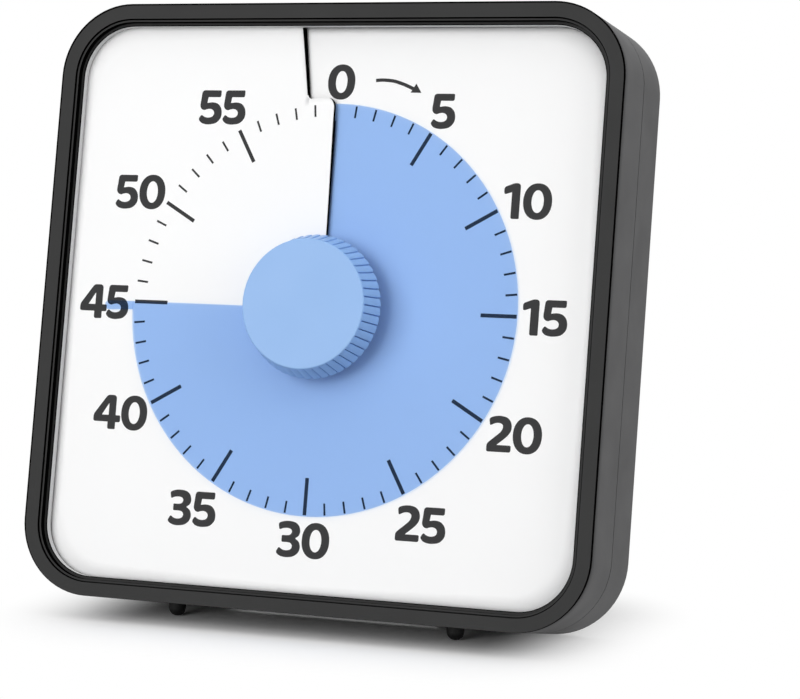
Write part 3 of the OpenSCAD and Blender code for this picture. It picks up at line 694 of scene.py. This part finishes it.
def curve_through(points, first, last, steps=6):
    """A smooth curve from the first point through the points, up to just before the last."""
    if not points:
        return []
    line = [first] + points + [last]
    out = []
    for i in range(len(line) - 1):
        p0 = Vector(line[max(i - 1, 0)])
        p1, p2 = Vector(line[i]), Vector(line[i + 1])
        p3 = Vector(line[min(i + 2, len(line) - 1)])
        for k in range(steps):
            t = k / steps
            out.append(0.5 * (2 * p1 + (p2 - p0) * t + (2 * p0 - 5 * p1 + 4 * p2 - p3) * t * t
                              + (3 * p1 - p0 - 3 * p2 + p3) * t ** 3))
    return [tuple(p) for p in out]


def trim(path, cut):
    """Drops the first stretch of a path, cut long, and starts it exactly there."""
    left = cut
    for i in range(len(path) - 1):
        a, b = Vector(path[i]), Vector(path[i + 1])
        if (b - a).length >= left:
            return [tuple(a + (b - a).normalized() * left)] + path[i + 1:]
        left -= (b - a).length
    return path[-1:]


def stretch(spec, i, j):
    """The path from corner i to corner j of a numeral, before the corners are cut."""
    between = spec[i + 1:j] if j > i else spec[i + 1:] + spec[:j]
    path = curve_through(between, spec[i][:2], spec[j][:2]) or [spec[i][:2]]
    return path + [spec[j][:2]]


def stencil(spec):
    """The closed outline of a numeral from its smooth points and its cut corners."""
    corners = [i for i, p in enumerate(spec) if len(p) == 3]
    out = []
    for n, i in enumerate(corners):
        j, ahead = (corners[(n + k) % len(corners)] for k in (1, 2))
        path = trim(stretch(spec, i, j), spec[i][2])
        path = trim(path[::-1], spec[j][2])[::-1]
        out += path
        first, peak = Vector(path[-1]), Vector(spec[j][:2])
        last = Vector(trim(stretch(spec, j, ahead), spec[j][2])[0])
        for k in range(1, CORNER_STEPS):
            t = k / CORNER_STEPS
            out.append(tuple((1 - t) ** 2 * first + 2 * t * (1 - t) * peak + t * t * last))
    return out


def oval(cx, cy, rx, ry, power, count=64):
    """A rounded oval, squarer than an ellipse if power is above 2."""
    out = []
    for i in range(count):
        a = 2 * math.pi * i / count
        c, s = math.cos(a), math.sin(a)
        out.append((cx + rx * math.copysign(abs(c) ** (2 / power), c),
                    cy + ry * math.copysign(abs(s) ** (2 / power), s)))
    return out


print("a cut square has", len(stencil([(0, 0, 1), (4, 0, 1), (4, 4, 1), (0, 4, 1)])), "points")

# %% [markdown]
# The numerals 0 to 5 are enough for the twelve numbers. Each stands with its foot at height zero
# and is about eleven and a half millimetres tall. The counters of 0 and 4 are holes. The two
# ovals of the zero are slightly square, as in the photo.
# %% Numeral outlines
NUMERALS = {
    "0": [oval(4.81, 5.72, 4.81, 5.84, 2.18), oval(4.81, 5.72, 2.04, 3.63, 2.07)],
    "1": [stencil([(2.7, 0, 0.7), (5.52, 0, 0.4), (5.52, 11.43, 1.2), (3.5, 11.5, 0.7),
                   (0.0, 10.15, 0.9), (0.15, 7.75, 0.8), (2.7, 8.6, 0.2)])],
    "2": [stencil([(0, 0, 0.7), (8.1, 0, 0.75), (8.1, 2.2, 0.5), (3.25, 2.2, 0.25), (5.3, 3.85),
                   (6.85, 5.3), (7.75, 6.7), (7.97, 8.2), (7.5, 9.85), (6.25, 10.98),
                   (4.3, 11.43), (2.2, 11.25), (0.35, 10.6, 0.8), (0.75, 8.25, 0.5), (2.45, 9.05),
                   (3.8, 9.17), (4.8, 8.75), (5.08, 7.8), (4.45, 6.45), (3.1, 5.2), (1.4, 3.75),
                   (0.0, 2.5, 0.8)])],
    "3": [stencil([(-0.15, 1.35, 0.6), (0.75, 0.5), (2.1, 0.0), (3.9, -0.13), (6.05, 0.28),
                   (7.65, 1.5), (8.25, 3.25), (7.75, 5.0), (6.35, 6.1, 0.3), (7.55, 7.05),
                   (7.98, 8.4), (7.5, 10.15), (6.05, 11.3), (3.8, 11.62), (1.9, 11.4),
                   (0.2, 10.75, 0.7), (0.65, 8.6, 0.5), (2.0, 9.17), (3.5, 9.32), (4.7, 8.98),
                   (5.1, 8.15), (4.6, 7.25), (3.5, 6.95), (1.6, 6.93, 0.4), (1.65, 4.7, 0.5),
                   (3.8, 4.72), (4.95, 4.4), (5.42, 3.45), (4.9, 2.45), (3.5, 2.07), (2.1, 2.28),
                   (0.85, 3.1, 0.5)])],
    "4": [stencil([(-0.05, 2.45, 0.9), (5.4, 2.45, 0.2), (5.4, 0, 0.8), (8.25, 0, 0.45),
                   (8.25, 2.4, 0.2), (10.0, 2.4, 0.7), (9.95, 4.7, 0.45), (8.22, 4.7, 0.2),
                   (8.22, 11.43, 1.3), (4.85, 11.43, 0.9), (0.0, 4.8, 0.8)]),
          stencil([(3.05, 4.72, 0.25), (5.6, 4.72, 0.2), (5.58, 8.75, 0.45)])],
    "5": [stencil([(0.0, 1.8), (0.8, 0.62), (2.35, 0.04), (4.2, 0.0), (6.3, 0.47), (7.8, 1.95),
                   (8.2, 3.7), (7.8, 5.55), (6.5, 6.95), (4.6, 7.4), (2.65, 7.15, 0.25),
                   (2.97, 9.15, 0.2), (7.6, 9.15, 0.75), (7.62, 11.45, 0.45), (0.62, 11.45, 1.1),
                   (0.35, 8.6), (0.17, 6.3), (0.75, 5.15), (1.75, 4.78), (2.6, 5.03), (3.8, 5.2),
                   (4.9, 4.8), (5.42, 3.8), (4.95, 2.7), (3.6, 2.25), (2.1, 2.45),
                   (0.85, 3.25, 0.5)])],
}
print("numerals drawn:", sorted(NUMERALS))

# %% [markdown]
# Each number is set by its lower left corner, so that it stands upright round the dial. The
# zero lies on the low side of the cut, although part of it is left of the zero mark.
# %% Numerals
PLACES = [("0", [(-3.84, 68.68)]), ("5", [(33.27, 59.25)]), ("10", [(59.93, 30.6), (66.55, 30.6)]),
          ("15", [(69.0, -6.27), (75.85, -6.3)]), ("20", [(60.25, -43.5), (68.78, -43.6)]),
          ("25", [(31.77, -73.6), (40.48, -73.8)]), ("30", [(-8.98, -81.45), (-0.25, -81.45)]),
          ("35", [(-48.64, -73.8), (-39.72, -73.86)]), ("40", [(-79.2, -43.64), (-68.95, -43.6)]),
          ("45", [(-87.62, -6.65), (-77.72, -6.7)]), ("50", [(-77.47, 30.68), (-68.84, 30.75)]),
          ("55", [(-48.92, 59.64), (-40.22, 59.65)])]
bm = bmesh.new()
for text, places in PLACES:
    for glyph, (u, v) in zip(text, places):
        outer, *holes = [[(x + u, y + v) for x, y in loop] for loop in NUMERALS[glyph]]
        dial_mark(bm, outer, holes, clock_of=(lambda clock: clock) if text == "0" else None)
finish_mesh("numerals", bm, "body", ink_grey, hard=30)

# %% [markdown]
# A small bent arrow beside the zero shows which way to wind. Its shaft is a strip with an even
# width along a smooth line, and its head is a plain triangle turned down to the right. The head
# is printed a hair higher than the shaft, so that the two never share a surface.
# %% Winding arrow
SHAFT_HALF, HEAD_LIFT = 0.56, 0.005
TAIL, NECK = (13.05, 74.95), (27.1, 71.9)
HEAD = [(27.25, 73.95), (29.2, 70.95), (25.45, 71.0)]
shaft = curve_through([(15.7, 75.1), (19.2, 74.78), (22.2, 73.95), (24.8, 72.95)], TAIL, NECK)
shaft.append(NECK)
left, right = [], []
for i, p in enumerate(shaft):
    a, b = Vector(shaft[max(i - 1, 0)]), Vector(shaft[min(i + 1, len(shaft) - 1)])
    n = Vector((-(b - a).y, (b - a).x)).normalized() * SHAFT_HALF
    left.append((p[0] + n.x, p[1] + n.y))
    right.append((p[0] - n.x, p[1] - n.y))
bm = bmesh.new()
dial_mark(bm, left + right[::-1])
dial_mark(bm, HEAD, lift=HEAD_LIFT)
finish_mesh("winding_arrow", bm, "body", ink_grey, hard=30)

# %% [markdown]
# The film disc is a sheet with the dial's own slope, so that it can wind through the cut. Its
# leading edge shows the minutes, and a small tab on that edge reaches out to the numbers. It
# rides on its own body, which turns with the knob and rises as it turns.
# %% Film disc
DISC_HOLE, DISC_R, FILM_T, FILM_GAP = 8.8, 67.6, 0.3, 0.45
LEAD, DISC_SPAN = 270.0, 357.6  # clock angle of the leading edge, and how far the film goes round
TAB_R, TAB_DEG, TAB_ROUND = 78.0, 2.3, 1.5


def film_place(r, clock):
    """A point of the film's face, a small gap above the dial."""
    return on_dial(r, clock, slope(clock) - FILM_GAP - FILM_T)


bm = bmesh.new()
tab_in = LEAD - TAB_DEG
columns = angles(LEAD - DISC_SPAN, tab_in) + angles(tab_in, LEAD, 0.4)[1:]
strip(bm, [(a, DISC_HOLE, DISC_R) for a in columns], 10, film_place)
tab_columns = []
for i in range(13):
    t = -1 + 2 * i / 12  # from one side of the tab to the other
    r = TAB_R - TAB_ROUND + TAB_ROUND * math.sqrt(max(1 - t * t, 0.0))
    tab_columns.append((tab_in + TAB_DEG * (t + 1) / 2, DISC_R, r))
strip(bm, tab_columns, 4, film_place)
film = finish_mesh("film_disc", bm, "disc", film_blue, hard=50, merge=1e-7)
face_viewer(film)
thin = film.modifiers.new("thickness", "SOLIDIFY")
thin.thickness = FILM_T * MM
thin.offset = -1
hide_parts("time_disc")

# %% [markdown]
# The knob is a cup that flares out towards the dial, with 50 low ribs round its side. It is
# built as rings round its axis: on each ring the radius dips at the grooves and rises a little
# across every rib. The ribs fade out where the side rolls over into the flat front.
# %% Setting knob
RIBS, FIRST = 50, 2.1  # the number of ribs, and the angle of the first groove
PARTS = [-0.5, -0.46, -0.42, -0.3, -0.1, 0.1, 0.3, 0.42, 0.46]  # parts of one rib, groove at -0.5
GROOVE, CROWN, TILT = 0.75, 0.2, 0.25  # in mm: the groove's depth, the rib's bulge and its slope
GROOVE_HALF = 0.08  # half the groove's width, as a part of a rib
FRONT = [(9.0, 0.5, 0), (9.0, 12, 0), (9.0, 20.6, 0), (8.98, 20.8, 0), (8.9, 20.98, 0),
         (8.72, 21.12, 0.05)]  # a ring's height above the band, its radius, and the groove's share
SIDE_RINGS = [(8.4, 21.22, 0.15), (8.1, 21.3, 0.5), (7.7, 21.38, 0.9), (7.3, 21.46, 1.0),
              (5.0, 22.1, 1.0), (2.5, 22.85, 1.0), (0.4, 23.5, 1.0), (0.15, 23.5, 1.0),
              (0.0, 23.35, 1.0)]
HOLLOW = [(0.0, 20.4, 0), (-2.5, 20.4, 0), (-2.5, 18.4, 0), (6.4, 18.4, 0), (6.4, 0.5, 0)]


def rib_dip(part):
    """How far the side lies inside its full radius at a part of a rib."""
    near = min(abs(part + 0.5), abs(0.5 - part)) / GROOVE_HALF
    return GROOVE * max(0.0, 1 - near) + CROWN * (2 * part) ** 2 - TILT * part


bm = bmesh.new()
loops = []
for out, r, share in FRONT + SIDE_RINGS + HOLLOW:
    loops.append([on_dial(r - share * rib_dip(part), FIRST + 360 * (rib + 0.5 + part) / RIBS, -out)
                  for rib in range(RIBS) for part in PARTS])
skin(bm, loops, caps=(True, True))
knob = finish_mesh("knob", bm, "knob", knob_blue, hard=40)
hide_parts("setting_knob")

# %% [markdown]
# Two rubber feet stand under the front edge. Each is turned: a dome that meets the floor, with
# a short neck going up into the shell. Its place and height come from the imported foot.
# %% Feet
DOME, TOP = 0.46, 0.7  # the dome's radius in foot widths, and the neck's top in dome radii
NECK_HEIGHT = 0.4 * MM
ROUND_ABOUT = [math.pi * k / 20 for k in range(40)]  # forty angles round a circle
for foot in ("foot_left", "foot_right"):
    low, high = (Vector(c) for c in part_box(foot))
    middle = (low + high) / 2
    r = DOME * (high.x - low.x)
    rings = [(r * math.sin(math.radians(t)), low.z + r * (1 - math.cos(math.radians(t))))
             for t in range(6, 91, 12)]
    rings += [(r, high.z - NECK_HEIGHT), (TOP * r, high.z)]
    bm = bmesh.new()
    skin(bm, [[Vector((middle.x + q * math.cos(a), middle.y + q * math.sin(a), z))
               for a in ROUND_ABOUT] for q, z in rings], caps=(True, True))
    dome = finish_mesh(foot + "_dome", bm, "body", foot_rubber)
    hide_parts(foot)

# %% [markdown]
# No moulding has knife edges. The back's parts have the right shape already, so each is copied
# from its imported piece, its triangles are merged into whole faces, and its edges are rounded:
# the back's outer edge by nearly half a millimetre, and the edges of openings by less. A wide
# bevel on a hollow edge would run into its neighbour, so wide ones go on outer corners only.
# %% Parts of the back
BACK = 42.0  # depth of the back
POCKET_HALF, POCKET_TOP = 62, -95  # the pocket's mouth at the bottom edge: u and v of its corners
WELD = 0.002 * MM
FLAT, CREASE = math.radians(1), math.radians(25)  # faces are merged below one, edges picked above
SLIM = 0.4  # mm: a bevel no wider than this may go on a hollow edge too


def softened(name, node, body, edges):
    """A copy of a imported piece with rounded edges. edges: the bevel's width in mm, its number of
    steps, and a test of an edge's middle, given as (u, v, depth)."""
    bm = bmesh.new()
    bm.from_mesh(frame["nodes"][node].data)
    bm.transform(frame["nodes"][node].matrix_world)
    bmesh.ops.remove_doubles(bm, verts=bm.verts, dist=WELD)
    bmesh.ops.dissolve_limit(bm, angle_limit=FLAT, verts=bm.verts, edges=bm.edges)
    picked = {}
    for e in bm.edges:
        if len(e.link_faces) == 2 and e.calc_face_angle(0) > CREASE:
            p = (e.verts[0].co + e.verts[1].co) / 2 - MIDDLE
            place = (p.x / MM, p.dot(UP) / MM, p.dot(INTO) / MM)
            for width, steps, test in edges:
                if test(*place) and (width <= SLIM or e.is_convex):
                    picked.setdefault((width, steps), []).append(e)
                    break
    for (width, steps), chosen in picked.items():
        bmesh.ops.bevel(bm, geom=[e for e in chosen if e.is_valid], offset=width * MM,
                        segments=steps, profile=0.5, affect="EDGES", clamp_overlap=True)
    piece = finish_mesh(name, bm, body, shell_grey)
    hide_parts(node)


def at_opening(u, v, depth):
    """Edges on the back that lie round its openings."""
    return depth > BACK - 0.3 and abs(u) < 70 and abs(v) < 90


def at_rim(u, v, depth):
    """The back's outer edge, but for the mouth of the stand's pocket."""
    at_mouth = v <= POCKET_TOP and abs(u) <= POCKET_HALF
    return depth > BACK - 1.5 and inset_of(u, v) < 1.2 and not at_mouth


softened("rear_cover_skin", "rear_cover", "body", [(0.3, 2, at_opening), (0.45, 3, at_rim)])
softened("battery_door_skin", "battery_door", "door", [(0.3, 2, lambda u, v, d: d > BACK - 0.5)])
softened("stand_skin", "stand", "stand", [(0.5, 3, lambda u, v, d: True)])

# %% [markdown]
# The battery door comes off with a fingertip, so it has a patch of low grip bars at each end.
# A bar is a small ridge with sloping sides, and its ends slope too.
# %% Grip bars of the battery door
DOOR_V = 52.0  # height of the door's middle
BARS, FIRST_BAR, BAR_PITCH = 5, 22.0, 1.7
BAR_LEVELS = [(0.5, 5.0, -0.05), (0.5, 5.0, 0.02), (0.2, 4.7, 0.3)]  # half width, half length, out
CORNERS = ((-1, -1), (1, -1), (1, 1), (-1, 1))  # of a rectangle, in half sides
bm = bmesh.new()
for side_of_door in (-1, 1):
    for k in range(BARS):
        u = side_of_door * (FIRST_BAR + BAR_PITCH * k)
        loops = [[on_face(u + x * half_u, DOOR_V + y * half_v, BACK + out) for x, y in CORNERS]
                 for half_u, half_v, out in BAR_LEVELS]
        skin(bm, loops, caps=(True, True))
finish_mesh("door_grip", bm, "door", shell_grey)

# %% [markdown]
# The object stands on a white sheet, and only its soft shadow shows where the sheet is. So the
# floor has two looks: near the object it is a pale matt paper that takes the shadow, and further
# out it turns to plain white, for rays that show the background. Light that the floor throws
# back on the object comes from a duller paper, so that the underside doesn't turn pale.
# %% Floor
FLOOR_HALF = 4  # metres
CORE = (0.058, 0.03, 0)  # half the size of the patch under the object that is all paper
FADE = 0.055  # how far beyond that patch, in metres, the floor has turned white


def seen_rays(tree):
    """1 for rays that show the background: straight, mirrored or through clear plastic."""
    path = tree.nodes.new("ShaderNodeLightPath")
    total = path.outputs["Is Camera Ray"]
    for kind in ("Is Glossy Ray", "Is Transmission Ray"):
        add = tree.nodes.new("ShaderNodeMath")
        add.use_clamp = True
        tree.links.new(total, add.inputs[0])
        tree.links.new(path.outputs[kind], add.inputs[1])
        total = add.outputs[0]
    return total


def shader_mix(tree, factor, first, second, output):
    """Goes from the first shader to the second as the factor rises, into the output's surface."""
    both = tree.nodes.new("ShaderNodeMixShader")
    tree.links.new(factor, both.inputs["Fac"])
    tree.links.new(first.outputs[0], both.inputs[1])
    tree.links.new(second.outputs[0], both.inputs[2])
    tree.links.new(both.outputs[0], tree.nodes[output].inputs["Surface"])


floor_white = plastic("floor white", (250, 250, 250), rough=0.6, bump=0.0, shift=0.004, level=0.05)
tree = floor_white.node_tree
shader = tree.nodes["Principled BSDF"]
bounce = colour_mix(tree, seen_rays(tree), linear(178, 178, 178))
tree.links.new(shader.inputs["Base Color"].links[0].from_socket, bounce.inputs[COLOUR_B])
tree.links.new(bounce.outputs[COLOUR_OUT], shader.inputs["Base Color"])
reach = tree.nodes.new("ShaderNodeTexCoord").outputs["Object"]
steps = (("ABSOLUTE", None), ("SUBTRACT", CORE), ("MAXIMUM", (0, 0, 0)), ("LENGTH", None))
for step, size in steps:  # together: the distance from the patch
    node = tree.nodes.new("ShaderNodeVectorMath")
    node.operation = step
    tree.links.new(reach, node.inputs[0])
    if size:
        node.inputs[1].default_value = size
    reach = node.outputs["Value" if step == "LENGTH" else "Vector"]
fade = tree.nodes.new("ShaderNodeMapRange")
fade.interpolation_type = "SMOOTHSTEP"
fade.inputs["From Min"].default_value = 0.0
fade.inputs["From Max"].default_value = FADE
tree.links.new(reach, fade.inputs["Value"])
shown = tree.nodes.new("ShaderNodeMath")
shown.operation = "MULTIPLY"
tree.links.new(fade.outputs["Result"], shown.inputs[0])
tree.links.new(seen_rays(tree), shown.inputs[1])
paper = tree.nodes.new("ShaderNodeEmission")
paper.inputs["Strength"].default_value = 1.0
shader_mix(tree, shown.outputs[0], shader, paper, "Material Output")

bm = bmesh.new()
bm.faces.new([bm.verts.new((x * FLOOR_HALF, y * FLOOR_HALF, 0)) for x, y in CORNERS])
mesh = bpy.data.meshes.new("floor")
bm.to_mesh(mesh)
bm.free()
floor = bpy.data.objects.new("floor", mesh)
bpy.context.scene.collection.objects.link(floor)
mesh.materials.append(floor_white)
print("floor half:", FLOOR_HALF, "m, white beyond", [round(c + FADE, 3) for c in CORE[:2]])

# %% [markdown]
# The world is a weak even sky, which keeps the deepest corners from going black. The background
# has to be pure white all the same. So rays that show the background, straight or mirrored, see
# a white of strength 1, and only the light on the object comes from the weak sky.
# %% Sky
SKY = 0.08
world = bpy.data.worlds.new("studio")
bpy.context.scene.world = world
world.use_nodes = True
tree = world.node_tree
sky = tree.nodes["Background"]
sky.inputs["Color"].default_value = (1, 1, 1, 1)
sky.inputs["Strength"].default_value = SKY
white = tree.nodes.new("ShaderNodeBackground")
white.inputs["Color"].default_value = (1, 1, 1, 1)
white.inputs["Strength"].default_value = 1.0
shader_mix(tree, seen_rays(tree), sky, white, "World Output")
print("sky:", SKY)

# %% [markdown]
# Three lamps light the timer, as in a small product studio. A soft key lamp stands to the left
# of the front and gives the knob and the ring their shadows. A wide roof lamp lights the floor
# and the top, and a weaker lamp on the right lights the side wall that the camera sees.
# %% Lamps
BODY_MIDDLE = (0, 0, 0.1)  # about half way up the body, in metres


def lamp(name, place, aim, size, power):
    """A soft square lamp that looks at a point: its place, aim and size in metres, and its power
    in watts."""
    data = bpy.data.lights.new(name, "AREA")
    data.shape = "RECTANGLE"
    data.size = data.size_y = size
    data.energy = power
    light = bpy.data.objects.new(name, data)
    bpy.context.scene.collection.objects.link(light)
    light.location = place
    light.rotation_euler = (Vector(aim) - Vector(place)).to_track_quat("-Z", "Y").to_euler()


lamp("key from the left", (-0.62, -1.6, 0.64), BODY_MIDDLE, 1.2, 19.6)
lamp("roof", (0, -0.4, 1.6), (0, -0.4, 0), 3.6, 32)
lamp("fill from the right", (1.5, -0.3, 0.75), BODY_MIDDLE, 1.3, 10.5)
bpy.context.scene.view_settings.view_transform = "Standard"
print("lamps:", len(bpy.data.lights))

# %% [markdown]
# CAD pieces that stay as they are still need a finish: the movement, the board, the cell and the
# screws. Each one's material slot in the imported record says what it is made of, and the table
# goes from there to a finish made above, so that no piece can be forgotten.
# %% Finishes of the pieces that stay
FINISH_OF = {
    "bezel_plastic": band_grey, "shell_plastic": shell_grey, "ring_plastic": trim_grey,
    "dial_white": dial_white, "chassis_grey": inner_grey, "film_blue": film_blue,
    "knob_blue": knob_blue, "rubber_black": foot_rubber, "steel": steel, "brass": brass,
    "gear_plastic": gear_cream, "movement_plastic": case_black, "iron": iron,
    "copper_wire": copper, "board_green": board_green, "cell_sleeve": cell_metal,
    "slider_grey": slider_pale,
}
slot_of = {s["node"]: s["material_slot"] for s in frame["record"]["subparts"]}
for name, node in frame["nodes"].items():
    node.data.materials.clear()
    node.data.materials.append(FINISH_OF[slot_of[name]])
print("finished pieces:", len(frame["nodes"]))
